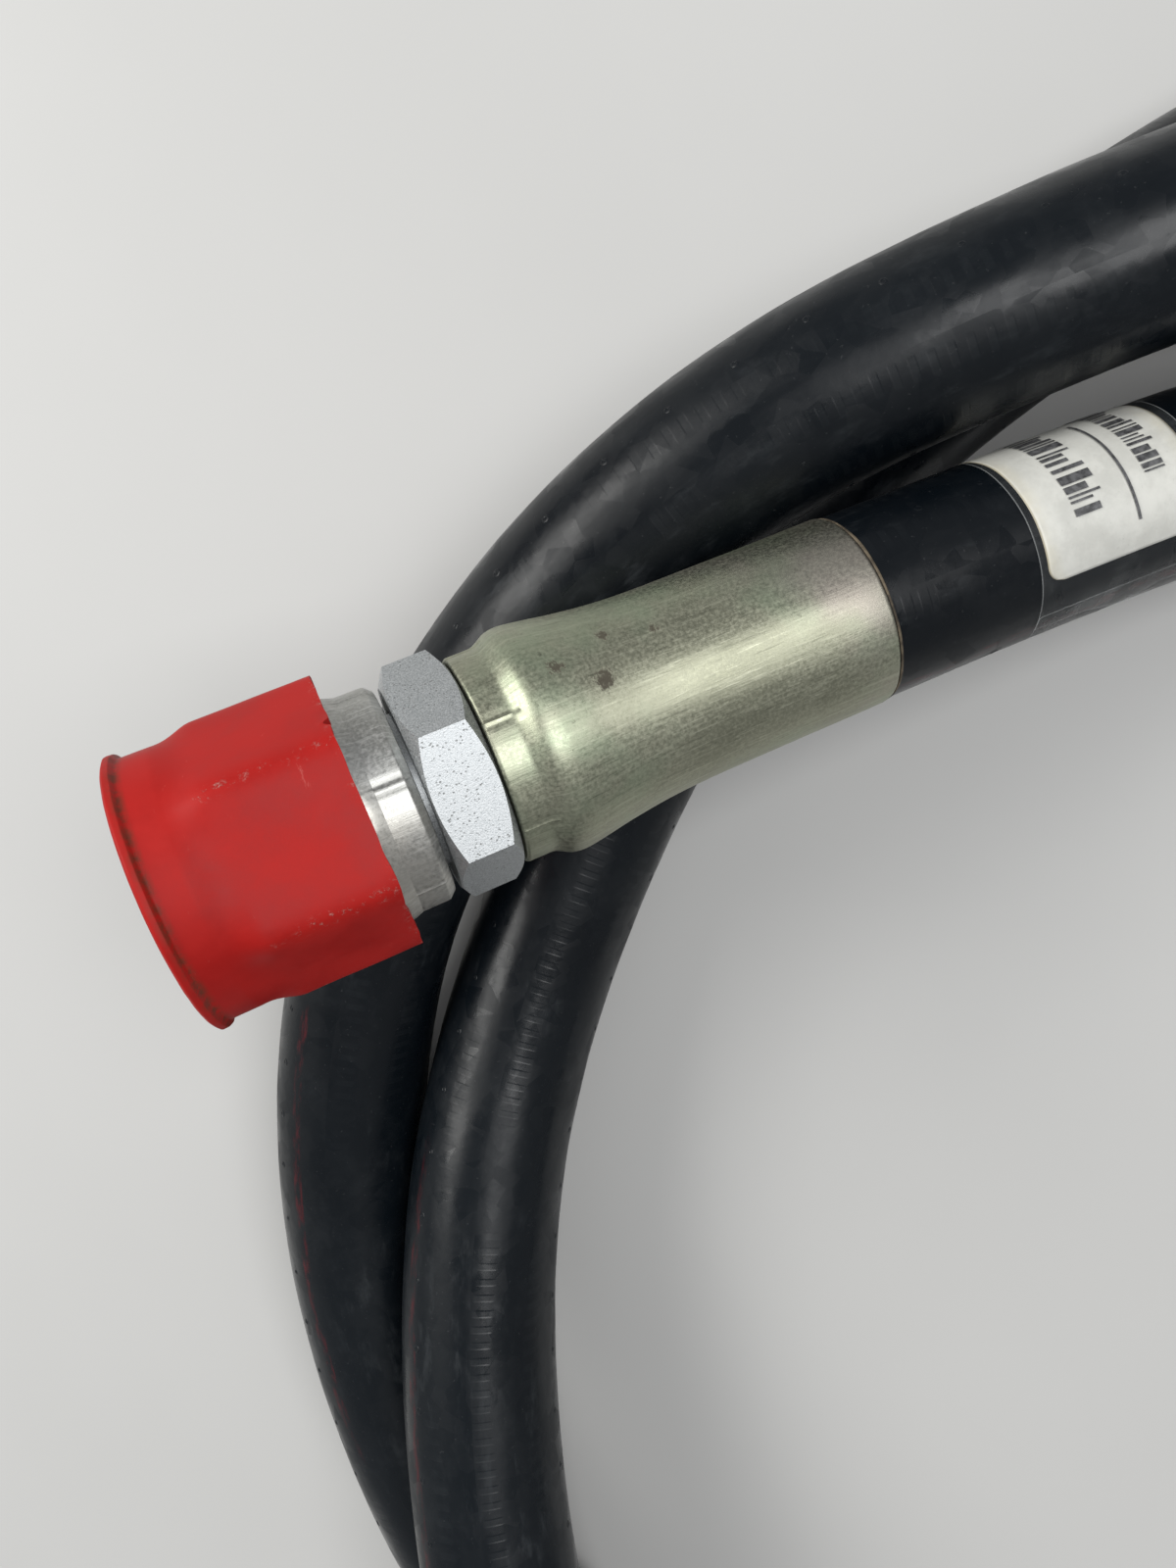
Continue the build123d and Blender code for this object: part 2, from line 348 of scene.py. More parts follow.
class Nodes:
    """Short calls for building one material's node tree."""

    def __init__(self, name):
        self.material = bpy.data.materials.new(name)
        self.material.use_nodes = True
        self.tree = self.material.node_tree
        self.shader = self.tree.nodes["Principled BSDF"]

    def add(self, kind, **settings):
        node = self.tree.nodes.new(kind)
        for key, value in settings.items():
            setattr(node, key, value)
        return node

    def link(self, source, target):
        self.tree.links.new(source, target)

    def feed(self, socket, value):
        if isinstance(value, bpy.types.NodeSocket):
            self.link(value, socket)
        else:
            socket.default_value = value

    def math(self, operation, *values):
        node = self.add("ShaderNodeMath", operation=operation)
        for socket, value in zip(node.inputs, values):
            self.feed(socket, value)
        return node.outputs[0]

    def noise(self, vector, scale, detail=4.0, roughness=0.55):
        node = self.add("ShaderNodeTexNoise")
        self.feed(node.inputs["Vector"], vector)
        node.inputs["Scale"].default_value = scale
        node.inputs["Detail"].default_value = detail
        node.inputs["Roughness"].default_value = roughness
        return node.outputs["Fac"]

    def cells(self, vector, scale):
        node = self.add("ShaderNodeTexVoronoi")
        self.feed(node.inputs["Vector"], vector)
        node.inputs["Scale"].default_value = scale
        return node.outputs["Distance"]

    def ramp(self, value, low, high, to_low=0.0, to_high=1.0):
        node = self.add("ShaderNodeMapRange", interpolation_type="SMOOTHSTEP")
        self.feed(node.inputs["Value"], value)
        node.inputs["From Min"].default_value = low
        node.inputs["From Max"].default_value = high
        node.inputs["To Min"].default_value = to_low
        node.inputs["To Max"].default_value = to_high
        return node.outputs["Result"]

    def mix(self, amount, first, second):
        node = self.add("ShaderNodeMix", data_type="RGBA")
        self.feed(node.inputs["Factor"], amount)
        for socket, value in ((node.inputs[6], first), (node.inputs[7], second)):
            if isinstance(value, bpy.types.NodeSocket):
                self.link(value, socket)
            else:
                socket.default_value = (*value, 1.0)
        return node.outputs[2]

    def stretch(self, vector, scale):
        node = self.add("ShaderNodeMapping")
        self.link(vector, node.inputs["Vector"])
        node.inputs["Scale"].default_value = scale
        return node.outputs["Vector"]

    def bump(self, height, distance, strength=1.0, below=None):
        node = self.add("ShaderNodeBump")
        node.inputs["Distance"].default_value = distance
        node.inputs["Strength"].default_value = strength
        self.link(height, node.inputs["Height"])
        if below is not None:
            self.link(below, node.inputs["Normal"])
        return node.outputs["Normal"]

    def place(self):
        return self.add("ShaderNodeTexCoord").outputs["Object"]

    def uv(self):
        return self.add("ShaderNodeTexCoord").outputs["UV"]

    def mask(self, name):
        return self.add("ShaderNodeAttribute", attribute_name=name).outputs["Fac"]

    def finish(self, color, roughness, normal=None, metallic=0.0, **constants):
        shader = self.shader
        if isinstance(color, bpy.types.NodeSocket):
            self.link(color, shader.inputs["Base Color"])
        else:
            shader.inputs["Base Color"].default_value = (*color, 1.0)
        self.feed(shader.inputs["Roughness"], roughness)
        self.feed(shader.inputs["Metallic"], metallic)
        if normal is not None:
            self.link(normal, shader.inputs["Normal"])
        for key, value in constants.items():
            shader.inputs[key.replace("_", " ")].default_value = value
        return self.material


# ---------------------------------------------------------------- materials


def hose_rubber():
    """Black cover rubber: smeared gloss, chalky scuffs, rows of wrap marks, red layline, fine grain."""
    m = Nodes("hose_rubber")
    place = m.place()
    split = m.add("ShaderNodeSeparateXYZ")
    m.link(m.uv(), split.inputs[0])
    along, around = split.outputs["X"], split.outputs["Y"]
    sway = m.math("MULTIPLY", m.noise(place, 30, 2), 0.06)
    row_phase = m.math("MULTIPLY", m.math("ADD", around, sway), 2 * math.pi * WRAP_ROWS)
    rows = m.ramp(m.math("COSINE", row_phase), 0.25, 0.80)
    dash_phase = m.math("MULTIPLY", along, ONE_WAVE / WRAP_PITCH)
    dashes = m.ramp(m.math("SINE", dash_phase), -0.1, 0.6)
    patches = m.ramp(m.noise(place, 36, 4, 0.65), 0.42, 0.62)
    marks = m.math("MULTIPLY", m.math("MULTIPLY", rows, dashes), patches)
    blocks = m.add("ShaderNodeTexVoronoi")
    m.link(m.stretch(m.uv(), (4.2, 25.0, 1.0)), blocks.inputs["Vector"])
    blocks.inputs["Scale"].default_value = 1.0
    smear = m.add("ShaderNodeSeparateColor")
    m.link(blocks.outputs["Color"], smear.inputs[0])
    streaks = m.noise(m.stretch(m.uv(), (1.6, 26.0, 1.0)), 1.0, 6, 0.66)
    dusty = m.ramp(m.noise(place, 46, 5, 0.65), 0.46, 0.68)
    chalk = m.math("MULTIPLY", m.ramp(streaks, 0.50, 0.72), dusty)
    smudge = m.ramp(m.noise(place, 120, 7, 0.7), 0.50, 0.72)
    dust = m.ramp(m.noise(place, 2400, 3, 0.6), 0.66, 0.74, 0.0, 0.35)
    tone = m.ramp(m.noise(place, 16, 3), 0.3, 0.7)
    color = m.mix(tone, (0.0012, 0.0022, 0.0036), (0.0036, 0.0056, 0.0078))
    color = m.mix(m.math("MULTIPLY", chalk, 0.34), color, (0.044, 0.050, 0.055))
    color = m.mix(m.math("MULTIPLY", smudge, 0.08), color, (0.056, 0.062, 0.067))
    color = m.mix(m.math("MULTIPLY", marks, 0.05), color, (0.040, 0.046, 0.050))
    color = m.mix(dust, color, (0.050, 0.052, 0.054))
    color = m.mix(layline_mask(m, along), color, (0.050, 0.004, 0.007))
    sheen = m.noise(m.stretch(m.uv(), (0.55, 9.0, 1.0)), 1.0, 5, 0.6)
    gloss = m.ramp(sheen, 0.38, 0.66, 0.20, 0.38)
    roughness = m.math("ADD", gloss, m.math("MULTIPLY", smear.outputs[0], 0.14))
    roughness = m.math("ADD", roughness, m.math("MULTIPLY", chalk, 0.16))
    relief = m.bump(marks, 0.000035, 0.45)
    relief = m.bump(m.noise(place, 620, 4, 0.6), 0.000025, 0.4, relief)
    relief = m.bump(m.noise(place, 190, 3, 0.55), 0.00016, 0.40, relief)
    relief = m.bump(m.noise(place, 48, 2, 0.5), 0.0004, 0.25, relief)
    return m.finish(color, roughness, relief, IOR=1.32)


def layline_mask(m, along):
    """Thin worn stripe printed along the hose in dashes."""
    distance = m.math("ABSOLUTE", m.mask("layline_gap"))
    stripe = m.ramp(distance, 0.55, 0.75, 1.0, 0.0)
    from_start = m.math("SUBTRACT", along, LAYLINE_START_CM)
    phase = m.math("MULTIPLY", from_start, ONE_WAVE / LAYLINE_PITCH)
    beat = m.math("COSINE", phase)
    worn = m.ramp(m.noise(m.stretch(m.uv(), (3.0, 60.0, 1.0)), 1.0, 5, 0.7), 0.45, 0.68)
    return m.math("MULTIPLY", m.math("MULTIPLY", stripe, m.ramp(beat, 0.45, 0.75)), worn)


def plated_steel(name, dark, light, tints, rough, specks, stained):
    """Zinc-plated steel with a brushed grain, drifting tints, fine pits and a few rust specks."""
    m = Nodes(name)
    place = m.place()
    brushed = m.noise(m.stretch(m.uv(), (14.0, 150.0, 1.0)), 1.0, 7, 0.72)
    mottle = m.noise(place, 3200, 4, 0.65)
    drift = m.noise(place, 75, 4, 0.6)
    blend = m.math("ADD", m.math("MULTIPLY", mottle, 0.6), m.math("MULTIPLY", drift, 0.4))
    color = m.mix(m.ramp(blend, 0.34, 0.66), dark, light)
    color = m.mix(m.ramp(brushed, 0.52, 0.66, 0.0, 0.75), color, tuple(1.15 * c for c in light))
    color = m.mix(m.ramp(brushed, 0.32, 0.45, 0.60, 0.0), color, tuple(0.5 * c for c in dark))
    color = m.mix(m.ramp(drift, 0.42, 0.66, 0.0, 0.5), color, tints[0])
    color = m.mix(m.ramp(m.noise(place, 52, 3, 0.5), 0.50, 0.68, 0.0, 0.6), color, tints[1])
    grime = m.math("MULTIPLY", m.ramp(m.noise(place, 980, 6, 0.8), 0.60, 0.72), 0.50)
    color = m.mix(grime, color, tuple(0.3 * c for c in dark))
    rust = m.ramp(m.noise(place, 260, 6, 0.78), 0.70 - specks, 0.76 - specks)
    if stained:
        level = m.math("MULTIPLY", m.ramp(m.mask("stain"), 0.0, 1.0), 0.46)
        ragged = m.noise(m.stretch(place, (1500.0, 900.0, 1500.0)), 1.0, 7, 0.85)
        spot = m.math("ADD", level, ragged)
        rust = m.math("MAXIMUM", rust, m.ramp(spot, 0.80, 0.92))
    color = m.mix(m.math("MULTIPLY", rust, 0.9), color, (0.030, 0.021, 0.012))
    gloss = m.ramp(mottle, 0.3, 0.7, rough - 0.07, rough + 0.09)
    roughness = m.math("ADD", gloss, m.math("MULTIPLY", rust, 0.3))
    metallic = m.math("SUBTRACT", 1.0, m.math("MULTIPLY", rust, 0.9))
    relief = m.bump(brushed, 0.00004, 0.6)
    relief = m.bump(mottle, 0.000016, 0.45, relief)
    relief = m.bump(m.noise(place, 190, 3, 0.55), 0.00006, 0.22, relief)
    return m.finish(color, roughness, relief, metallic)


def pitted_steel():
    """Bright zinc on the fixed hexagon: sparkling grain, fine dark pits and short scratches."""
    m = Nodes("pitted_steel")
    place = m.place()
    grain = m.noise(place, 7500, 3, 0.7)
    pits = m.ramp(m.cells(place, 2900), 0.14, 0.30, 1.0, 0.0)
    pits = m.math("MULTIPLY", pits, m.ramp(m.noise(place, 420, 3), 0.36, 0.58))
    scratch = m.noise(m.stretch(place, (420.0, 3200.0, 900.0)), 1.0, 3, 0.6)
    color = m.mix(m.ramp(grain, 0.3, 0.7), (0.34, 0.36, 0.37), (0.62, 0.64, 0.65))
    color = m.mix(m.math("MULTIPLY", pits, 0.6), color, (0.12, 0.12, 0.11))
    color = m.mix(m.ramp(scratch, 0.66, 0.76, 0.0, 0.35), color, (0.28, 0.28, 0.27))
    roughness = m.ramp(grain, 0.3, 0.7, 0.42, 0.58)
    relief = m.bump(m.math("SUBTRACT", 1.0, pits), 0.00003, 0.6)
    relief = m.bump(grain, 0.000024, 0.9, relief)
    return m.finish(color, roughness, relief, 1.0)


def cap_vinyl():
    """Soft red vinyl: whitish rub marks on the creases, dirt behind the flange, slight glow."""
    m = Nodes("cap_vinyl")
    place = m.place()
    mottle = m.noise(place, 130, 5, 0.62)
    scratch = m.noise(m.stretch(place, (1300.0, 210.0, 620.0)), 1.0, 5, 0.75)
    color = m.mix(m.ramp(mottle, 0.30, 0.70), (0.29, 0.0060, 0.0045), (0.37, 0.0100, 0.0075))
    haze = m.ramp(m.noise(place, 62, 5, 0.7), 0.52, 0.74, 0.0, 0.03)
    color = m.mix(haze, color, (0.52, 0.15, 0.13))
    flakes = m.ramp(m.noise(place, 1500, 6, 0.8), 0.55, 0.64)
    rubbed = m.math("MULTIPLY", flakes, m.ramp(mottle, 0.42, 0.58))
    chalk = m.math("MULTIPLY", m.mask("rub"), rubbed)
    color = m.mix(m.math("MULTIPLY", chalk, 0.8), color, (0.60, 0.34, 0.30))
    color = m.mix(m.ramp(scratch, 0.66, 0.74, 0.0, 0.25), color, (0.62, 0.20, 0.17))
    soil = m.math("MULTIPLY", m.mask("dirt"), m.ramp(m.noise(place, 700, 6, 0.75), 0.36, 0.62))
    color = m.mix(m.math("MULTIPLY", soil, 0.8), color, (0.085, 0.030, 0.016))
    roughness = m.math("ADD", m.ramp(mottle, 0.3, 0.7, 0.46, 0.60), m.math("MULTIPLY", chalk, 0.25))
    relief = m.bump(m.noise(place, 1100, 4, 0.6), 0.00003, 0.35)
    relief = m.bump(chalk, 0.00007, 0.8, relief)
    relief = m.bump(m.noise(place, 170, 3, 0.6), 0.00015, 0.20, relief)
    return m.finish(color, roughness, relief, Subsurface_Weight=0.06, Subsurface_Scale=0.0015, IOR=1.27)


def label_paper():
    """Matt off-white label stock: clouded fibres, grey specks, a yellowed line along its edges."""
    m = Nodes("label_paper")
    place = m.place()
    cloud = m.noise(place, 260, 6, 0.7)
    color = m.mix(m.ramp(cloud, 0.36, 0.66), (0.60, 0.60, 0.56), (0.50, 0.50, 0.465))
    specks = m.ramp(m.noise(place, 1900, 5, 0.75), 0.60, 0.70, 0.0, 0.25)
    color = m.mix(specks, color, (0.26, 0.26, 0.24))
    edge = m.mask("edge")
    blotches = m.ramp(m.noise(place, 230, 4, 0.65), 0.34, 0.66)
    stain = m.math("MULTIPLY", m.ramp(edge, 0.0, 1.0), blotches)
    color = m.mix(m.math("MULTIPLY", stain, 0.35), color, (0.50, 0.44, 0.27))
    color = m.mix(m.ramp(edge, 0.90, 0.96, 0.0, 0.6), color, (0.20, 0.155, 0.065))
    relief = m.bump(m.noise(place, 1400, 3, 0.6), 0.00002, 0.5)
    return m.finish(color, 0.40, relief)


def label_ink():
    """Worn black print."""
    m = Nodes("label_ink")
    worn = m.noise(m.place(), 1500, 3, 0.6)
    color = m.mix(m.ramp(worn, 0.3, 0.7), (0.018, 0.018, 0.020), (0.10, 0.10, 0.105))
    return m.finish(color, m.ramp(worn, 0.3, 0.7, 0.35, 0.55))


def clear_film():
    """Clear tape: nearly invisible but for the light line of its cut edges."""
    m = Nodes("clear_film")
    haze = m.ramp(m.noise(m.place(), 180, 5, 0.65), 0.45, 0.75, 0.02, 0.07)
    rim = m.ramp(m.mask("rim"), 0.45, 0.95, 0.0, 0.30)
    m.feed(m.shader.inputs["Alpha"], m.math("ADD", haze, rim))
    return m.finish((0.55, 0.57, 0.57), 0.16, IOR=1.45)


def tan_rubber():
    """Brown dusty rubber, squeezed out at the ferrule's mouth."""
    m = Nodes("tan_rubber")
    place = m.place()
    mottle = m.ramp(m.noise(place, 700, 4, 0.6), 0.35, 0.65)
    color = m.mix(mottle, (0.035, 0.026, 0.016), (0.12, 0.095, 0.062))
    return m.finish(color, 0.75, m.bump(m.noise(place, 1200, 4, 0.6), 0.0001, 0.8))


def floor_finish():
    """Plain pale floor."""
    m = Nodes("floor_finish")
    place = m.place()
    cloud = m.ramp(m.noise(place, 9, 4, 0.5), 0.35, 0.65)
    color = m.mix(cloud, (0.455, 0.455, 0.447), (0.475, 0.475, 0.467))
    return m.finish(color, 0.62)


# ---------------------------------------------------------------- hose


def route_line():
    """Points along the NURBS spline whose control points are the route."""
    curve = bpy.data.curves.new("route", "CURVE")
    curve.dimensions = "3D"
    spline = curve.splines.new("NURBS")
    spline.points.add(len(ROUTE) - 1)
    for point, place in zip(spline.points, ROUTE):
        point.co = (*place, 1.0)
    spline.order_u = 3
    spline.use_endpoint_u = True
    spline.resolution_u = 24
    holder = bpy.data.objects.new("route", curve)
    mesh = bpy.data.meshes.new_from_object(holder)
    points = [v.co.copy() for v in mesh.vertices]
    bpy.data.objects.remove(holder)
    bpy.data.meshes.remove(mesh)
    bpy.data.curves.remove(curve)
    return points


def hose_radius(s, angle):
    """The cover isn't a perfect tube: it swells, flattens and ripples a little along its length."""
    round_place = Vector((s * 0.035, math.cos(angle), math.sin(angle)))
    ripple_place = Vector((s * 0.16, 3.2 * math.cos(angle), 3.2 * math.sin(angle)))
    return HOSE_R - 0.05 + 0.09 * noise.noise(round_place) + 0.045 * noise.noise(ripple_place)


def layline_angle(s):
    """Angle of the printed layline round the hose at s, in degrees: it winds slowly."""
    return -66.0 + 122.0 * (1 - math.exp(-s / 460.0))


def make_hose(line):
    """The cover as one tube that reaches a little way into both ferrules."""
    rings = int(line.length / 1.3)
    span = line.length + 2 * HOSE_REACH
    stations = [span * i / (rings - 1) - HOSE_REACH for i in range(rings)]
    places = [line.place(s) for s in stations]

    def place(i, j):
        centre, tangent, normal = places[i]
        s = stations[i]
        angle = 2 * math.pi * j / HOSE_SIDES
        side = normal.cross(tangent)
        spoke = normal * math.cos(angle) + side * math.sin(angle)
        return centre + spoke * (hose_radius(s, angle) * MM)

    def uv(i, j):
        return (stations[i] * MM * 100, j / HOSE_SIDES)

    hose = grid_mesh("hose", rings, HOSE_SIDES, place, wrap_columns=True, uv=uv)
    gaps = []
    for s in stations:
        centre_angle = layline_angle(s)
        for j in range(HOSE_SIDES):
            away = (360 * j / HOSE_SIDES - centre_angle + 180) % 360 - 180
            gaps.append(math.radians(away) * HOSE_R)
    paint(hose, "layline_gap", gaps)
    hose.data.materials.append(hose_rubber())
    return hose


def make_pin_pricks(line, material):
    """Small vent pricks in rows along the cover, each a shallow crater with a torn lip."""
    random.seed(11)
    profile = ((0.46, -0.02), (0.34, 0.045), (0.22, 0.035), (0.13, -0.03))
    sides = 8
    vertices = []
    faces = []

    def prick(s, angle, size):
        start = len(vertices)
        surface = hose_radius(s, angle)
        for radius, height in profile:
            for k in range(sides):
                turn = 2 * math.pi * k / sides
                lip = height * random.uniform(0.5, 1.4) if height > 0 else height
                along = size * radius * math.cos(turn)
                round_it = size * radius * math.sin(turn) / HOSE_R
                vertices.append(line.point(s + along, surface + lip, angle + round_it))
        vertices.append(line.point(s, surface - 0.04, angle))
        for ring in range(len(profile) - 1):
            for k in range(sides):
                a = start + ring * sides + k
                b = start + ring * sides + (k + 1) % sides
                faces.append((a, b, b + sides, a + sides))
        inner = start + (len(profile) - 1) * sides
        for k in range(sides):
            faces.append((inner + k, inner + (k + 1) % sides, len(vertices) - 1))

    for row, row_angle in enumerate(PRICK_ANGLES):
        s = 5.0 + row * PRICK_PITCH / len(PRICK_ANGLES)
        while s < line.length - 4:
            wander = 4.0 * noise.noise(Vector((s * 0.02, row, 0)))
            angle = row_angle + wander + random.uniform(-1.0, 1.0)
            under_tape = TAPE_S[0] - 1 < s < TAPE_S[1] + 1
            if not under_tape:
                prick(s + random.uniform(-0.3, 0.3), math.radians(angle), random.uniform(0.75, 1.1))
            s += PRICK_PITCH
    piece = new_piece("pin_pricks", vertices, faces)
    piece.data.materials.append(material)
    paint(piece, "layline_gap", [HOSE_R] * len(vertices))
    face_outwards(piece)
    return piece


def make_label(line):
    """Paper label wrapped part of the way round the hose, with rounded corners."""
    rows, columns = 40, 140
    s0, s1 = LABEL_S
    a0, a1 = (math.radians(a) for a in LABEL_ANGLES)

    def span(t):
        """Stations at parameter t round the hose, drawn in near the rounded corners."""
        from_edge = min(t, 1 - t) * (a1 - a0) * HOSE_R
        if from_edge >= LABEL_CORNER:
            return s0, s1
        pull = LABEL_CORNER - math.sqrt(LABEL_CORNER**2 - (LABEL_CORNER - from_edge) ** 2)
        return s0 + pull, s1 - pull

    def place(i, j):
        t = j / (columns - 1)
        near, far = span(t)
        s = near + (far - near) * i / (rows - 1)
        angle = a0 + (a1 - a0) * t
        return line.point(s, hose_radius(s, angle) + 0.02, angle)

    label = grid_mesh("part_label_sheet", rows, columns, place)
    edges = []
    for i in range(rows):
        away = min(i, rows - 1 - i) / (rows - 1) * (s1 - s0)
        edges += [max(0.0, 1 - away / 2.0)] * columns
    paint(label, "edge", edges)
    solid = label.modifiers.new("thickness", "SOLIDIFY")
    solid.thickness = 0.09 * MM
    solid.offset = 1.0
    label.data.materials.append(label_paper())
    return label


def make_label_print(line):
    """Generic marks in place of print: two rows of short bars and a dividing rule."""
    random.seed(5)
    vertices = []
    faces = []

    def bar(s_low, s_high, a_low, a_high):
        steps = max(2, int((a_high - a_low) / 3) + 1)
        start = len(vertices)
        for k in range(steps):
            angle = math.radians(a_low + (a_high - a_low) * k / (steps - 1))
            for s in (s_low, s_high):
                vertices.append(line.point(s, hose_radius(s, angle) + 0.125, angle))
        for k in range(steps - 1):
            a = start + 2 * k
            faces.append((a, a + 1, a + 3, a + 2))

    def row(s_low, s_high, a_low, a_high, pitch):
        angle = a_low
        while angle < a_high:
            width = pitch * random.choice((0.16, 0.28, 0.46, 0.6))
            trim = (s_high - s_low) * random.choice((0.0, 0.0, 0.18, 0.3))
            bar(s_low, s_high - trim, angle, angle + width)
            angle += width + pitch * random.choice((0.16, 0.22, 0.34))

    row(17.6, 20.9, 2, 92, 9.5)
    row(25.6, 28.2, 12, 96, 7.0)
    bar(23.55, 23.85, -12, 70)
    piece = new_piece("label_marks", vertices, faces)
    piece.data.shade_flat()
    piece.data.materials.append(label_ink())
    return piece


def make_tape(line):
    """Clear tape wound once over the label, its free end lifted in a small wrinkle."""
    rows, columns = 64, 200
    s0, s1 = TAPE_S
    start, sweep = math.radians(-62), math.radians(372)

    def place(i, j):
        t = j / (columns - 1)
        s = s0 + (s1 - s0) * i / (rows - 1)
        angle = start + sweep * t
        lift = 0.16 + 0.04 * t
        if t < 0.09:
            wave = 0.5 + 0.5 * math.sin(s * 0.6 + 0.8)
            lift += 0.55 * (1 - t / 0.09) ** 2 * wave * smooth_step(s0 + 1, s0 + 4, s)
        ripple = 0.02 * noise.noise(Vector((s * 0.5, 6 * t, 2.0)))
        return line.point(s, hose_radius(s, angle) + lift + ripple, angle)

    piece = grid_mesh("label_tape_sheet", rows, columns, place)
    rim = []
    for i in range(rows):
        for j in range(columns):
            rim.append(1.0 if i in (0, rows - 1) or j in (0, columns - 1) else 0.0)
    paint(piece, "rim", rim)
    piece.data.materials.append(clear_film())
    return piece


# ---------------------------------------------------------------- fittings


def smooth_through(points, steps):
    """Points of a Catmull-Rom curve that passes through the given (s, r) points."""
    spots = [Vector(p) for p in points]
    spots = [2 * spots[0] - spots[1]] + spots + [2 * spots[-1] - spots[-2]]
    curve = []
    for a, b, c, d in zip(spots, spots[1:], spots[2:], spots[3:]):
        for k in range(steps):
            t = k / steps
            bend = 2 * b + (c - a) * t + (2 * a - 5 * b + 4 * c - d) * t**2
            curve.append(0.5 * (bend + (3 * b - a - 3 * c + d) * t**3))
    curve.append(spots[-2])
    return curve


def crimp_mark(angle, first, ridge_width, groove, groove_reach):
    """Change of radius at the lines that crimping jaws leave, one for every step round the fitting."""
    step = (math.degrees(angle) - first) % CRIMP_STEP
    seam = min(step, CRIMP_STEP - step)
    ridge = 0.07 * (1 - smooth_step(0.2, ridge_width, seam))
    return ridge - 0.06 * (1 - smooth_step(*groove_reach, abs(seam - groove)))


def make_ferrule(end, steel):
    """Crimped sleeve: straight barrel, flare, bulge, and a neck pressed on in six steps."""
    lip = rounded_outline([(4.0, 7.8, 0), (2.0, 7.8, 0), (2.0, 9.13, 0.42), (4.5, 9.15, 0)], steps=6)
    barrel = smooth_through(
        [
            (4.6, 9.15),
            (12.0, 9.17),
            (20.0, 9.22),
            (24.5, 9.42),
            (28.5, 9.86),
            (31.5, 10.34),
            (33.4, 10.58),
            (34.6, 10.44),
            (35.5, 9.98),
            (36.2, 9.70),
            (37.2, 9.66),
        ],
        steps=7,
    )
    rim = rounded_outline([(37.4, 9.66, 0), (38.8, 9.66, 0.35), (38.8, 7.2, 0), (37.0, 7.2, 0)], steps=5)
    outline = lip + barrel + rim

    def shape(s, r, angle):
        if r < 8.9:
            return s, r
        r += 0.05 * noise.noise(Vector((s * 0.12, 3 * math.cos(angle), 3 * math.sin(angle))))
        if s > FERRULE_NECK_S:
            r += crimp_mark(angle, 18, 1.1, 2.0, (0.9, 3.2))
        away_s = (s - NICK_S) / NICK_REACH_S
        away_angle = (math.degrees(angle) - NICK_ANGLE) / NICK_REACH_ANGLE
        nick = math.hypot(away_s, away_angle)
        return s, r - 0.28 * (1 - smooth_step(0.2, 1.0, nick))

    piece = turned(f"ferrule_{end.name}_sleeve", end, outline, 300, shape)
    stain_mask(piece, end)
    piece.data.materials.append(steel)
    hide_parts(f"ferrule_{end.name}")
    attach(piece, "hose")
    return piece


def stain_mask(piece, end):
    """Where rust has started on the ferrule: round the nick and in front of the bulge."""
    spots = ((26.4, 40, 1.6), (28.0, 16, 3.0), (31.5, 30, 2.4), (22.0, 34, 1.8))
    levels = []
    for vertex in piece.data.vertices:
        s, r, angle = end.polar(vertex.co)
        level = 0.0
        for spot_s, spot_angle, reach in spots:
            away = math.hypot(s - spot_s, math.radians(angle - spot_angle) * r)
            level = max(level, 1 - away / reach)
        levels.append(level)
    paint(piece, "stain", levels)


def make_mouth_ring(end, material):
    """Thin bead of squeezed-out cover rubber where the hose enters the ferrule."""
    outline = rounded_outline(
        [(1.70, 8.8, 0), (1.72, 9.02, 0.1), (1.98, 9.06, 0.1), (2.0, 8.8, 0)], steps=3
    )

    def shape(s, r, angle):
        wobble = 0.10 * noise.noise(Vector((2.5 * math.cos(angle), 2.5 * math.sin(angle), 7.0)))
        return (s + wobble if s < 1.9 else s), r

    piece = turned(f"mouth_bead_{end.name}", end, outline, 128, shape)
    piece.data.materials.append(material)
    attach(piece, "hose")
    return piece


def make_nut(end, steel, turn):
    """Swivel nut: hexagon, cone, crimped skirt, and the thread's minor bore."""
    corner = NUT_FLATS / 2 / math.cos(math.pi / 6)
    outline = rounded_outline(
        [
            (45.45, NUT_SHANK_BORE_R, 0.0),
            (45.45, 9.30, 0.25),
            (46.15, 9.95, 0.35),
            (48.70, 9.98, 0.30),
            (50.15, 10.45, 0.2),
            (51.20, corner, 0.15),
            (61.35, corner, 0.15),
            (62.30, 10.10, 0.15),
            (62.30, 8.75, 0.1),
            (61.50, NUT_THREAD_R, 0.0),
            (54.40, NUT_THREAD_R, 0.0),
            (54.40, NUT_RELIEF_R, 0.0),
            (50.40, NUT_RELIEF_R, 0.0),
            (50.40, NUT_SHANK_BORE_R, 0.0),
        ],
        steps=5,
    )

    def shape(s, r, angle):
        if r > 10.0 and s > 49.6:
            return s, min(r, hexagon_reach(NUT_FLATS, angle, turn, 0.5))
        if s < 48.9 and r > 9.2:
            r += crimp_mark(angle, 8, 1.0, 1.9, (0.8, 3.0))
        return s, r

    piece = turned(f"nut_{end.name}_shell", end, with_short_steps(outline, 0.6), 360, shape)
    piece.data.materials.append(steel)
    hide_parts(f"swivel_nut_{end.name}")
    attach(piece, f"nut_{end.name}")
    return piece


